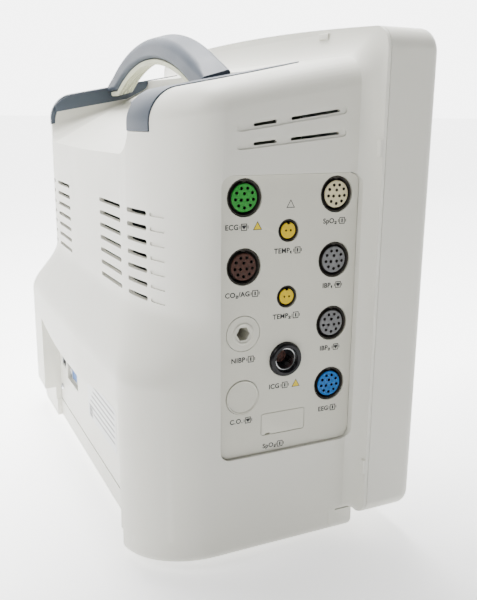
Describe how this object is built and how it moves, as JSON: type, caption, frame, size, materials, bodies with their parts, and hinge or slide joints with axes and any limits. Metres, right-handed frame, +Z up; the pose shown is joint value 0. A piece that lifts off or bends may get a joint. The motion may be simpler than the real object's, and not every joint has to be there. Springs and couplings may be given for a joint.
{
  "type": "patient monitor",
  "caption": "Bedside patient monitor: display housing with a top carrying handle, a side panel of round patient sockets, front keys and knob, and a base on feet.",
  "frame": {"origin": "on the floor, under the middle of the whole object's box", "axes": "+Z up, the screen faces -Y, the patient sockets are on the -X side"},
  "size_m": [0.332, 0.18, 0.294],
  "materials": {
    "housing": "satin",
    "slate": "satin",
    "grip": "matte",
    "panel": "satin",
    "green": "satin",
    "brown": "satin",
    "cream": "satin",
    "grey": "satin",
    "blue": "satin",
    "yellow": "satin",
    "black": "gloss",
    "rubber": "matte",
    "clear": "gloss",
    "steel": "satin",
    "aluminium": "satin",
    "board": "satin",
    "amber": "gloss",
    "paper": "matte",
    "key": "satin"
  },
  "bodies": {
    "housing": {"rear_housing": "housing", "front_bezel": "housing", "base_tray": "housing", "io_panel": "housing", "nibp_port": "housing", "output_blank": "housing", "module_blank": "housing", "handle_frame": "slate", "handle_grip": "grip", "socket_panel": "panel", "ecg_socket": "green", "co2_socket": "brown", "spo2_socket": "cream", "ibp1_socket": "grey", "ibp2_socket": "grey", "video_port": "grey", "recorder_body": "grey", "eeg_socket": "blue", "temp1_socket": "yellow", "temp2_socket": "yellow", "icg_socket": "black", "lcd_module": "black", "mains_inlet": "black", "battery_pack": "black", "paper_spindle": "black", "speaker": "black", "valve_block": "black", "foot_1": "rubber", "foot_2": "rubber", "foot_3": "rubber", "foot_4": "rubber", "screen_lens": "clear", "alarm_lens": "amber", "encoder_body": "steel", "network_jack": "steel", "ground_stud": "steel", "mount_plate": "steel", "nibp_pump": "steel", "chassis_plate": "aluminium", "power_supply": "aluminium", "heat_sink": "aluminium", "main_board": "board", "parameter_board": "board"},
    "power_button": {"power_key": "key"},
    "encoder_plunger": {"encoder_plunger": "black"},
    "knob": {"control_knob": "slate", "encoder_shaft": "steel"},
    "recorder_door": {"recorder_door": "housing"},
    "recorder_button": {"recorder_button": "key"},
    "paper_roll": {"paper_roll": "paper"},
    "platen_roller": {"platen_roller": "rubber"},
    "battery_door": {"battery_door": "housing"},
    "battery_latch": {"battery_latch": "key"},
    "function_key_1": {"function_key_1": "key"},
    "function_key_2": {"function_key_2": "key"},
    "function_key_3": {"function_key_3": "key"},
    "function_key_4": {"function_key_4": "key"},
    "function_key_5": {"function_key_5": "key"},
    "function_key_6": {"function_key_6": "key"}
  },
  "joints": [
    {"name": "power_key_press", "type": "slide", "parent": "housing", "child": "power_button", "axis": [0, 1, 0], "range_m": [0, 0.0012], "stiffness_N_per_m": 300, "springref_m": -0.001},
    {"name": "function_key_1_press", "type": "slide", "parent": "housing", "child": "function_key_1", "axis": [0, 1, 0], "range_m": [0, 0.0012], "stiffness_N_per_m": 300, "springref_m": -0.001},
    {"name": "function_key_2_press", "type": "slide", "parent": "housing", "child": "function_key_2", "axis": [0, 1, 0], "range_m": [0, 0.0012], "stiffness_N_per_m": 300, "springref_m": -0.001},
    {"name": "function_key_3_press", "type": "slide", "parent": "housing", "child": "function_key_3", "axis": [0, 1, 0], "range_m": [0, 0.0012], "stiffness_N_per_m": 300, "springref_m": -0.001},
    {"name": "function_key_4_press", "type": "slide", "parent": "housing", "child": "function_key_4", "axis": [0, 1, 0], "range_m": [0, 0.0012], "stiffness_N_per_m": 300, "springref_m": -0.001},
    {"name": "function_key_5_press", "type": "slide", "parent": "housing", "child": "function_key_5", "axis": [0, 1, 0], "range_m": [0, 0.0012], "stiffness_N_per_m": 300, "springref_m": -0.001},
    {"name": "function_key_6_press", "type": "slide", "parent": "housing", "child": "function_key_6", "axis": [0, 1, 0], "range_m": [0, 0.0012], "stiffness_N_per_m": 300, "springref_m": -0.001},
    {"name": "knob_push", "type": "slide", "parent": "housing", "child": "encoder_plunger", "axis": [0, 1, 0], "range_m": [0, 0.0008], "stiffness_N_per_m": 400, "springref_m": -0.001},
    {"name": "knob_turn", "type": "hinge", "parent": "encoder_plunger", "child": "knob", "pos_m": [0.126, -0.064, 0.048], "axis": [0, -1, 0], "continuous": true},
    {"name": "recorder_door_hinge", "type": "hinge", "parent": "housing", "child": "recorder_door", "pos_m": [0.15, 0.014, 0.128], "axis": [0, 1, 0], "range_deg": [0, 75]},
    {"name": "recorder_button_press", "type": "slide", "parent": "recorder_door", "child": "recorder_button", "axis": [-1, 0, 0], "range_m": [0, 0.001], "stiffness_N_per_m": 300, "springref_m": -0.001},
    {"name": "paper_roll_spin", "type": "hinge", "parent": "housing", "child": "paper_roll", "pos_m": [0.1225, 0.014, 0.156], "axis": [0, 1, 0], "continuous": true},
    {"name": "platen_roller_spin", "type": "hinge", "parent": "housing", "child": "platen_roller", "pos_m": [0.138, 0.014, 0.189], "axis": [0, 1, 0], "continuous": true},
    {"name": "battery_door_hinge", "type": "hinge", "parent": "housing", "child": "battery_door", "pos_m": [0.15, -0.005, 0.038], "axis": [0, 1, 0], "range_deg": [0, 75]},
    {"name": "battery_latch_press", "type": "slide", "parent": "battery_door", "child": "battery_latch", "axis": [-1, 0, 0], "range_m": [0, 0.001], "stiffness_N_per_m": 300, "springref_m": -0.001}
  ]
}
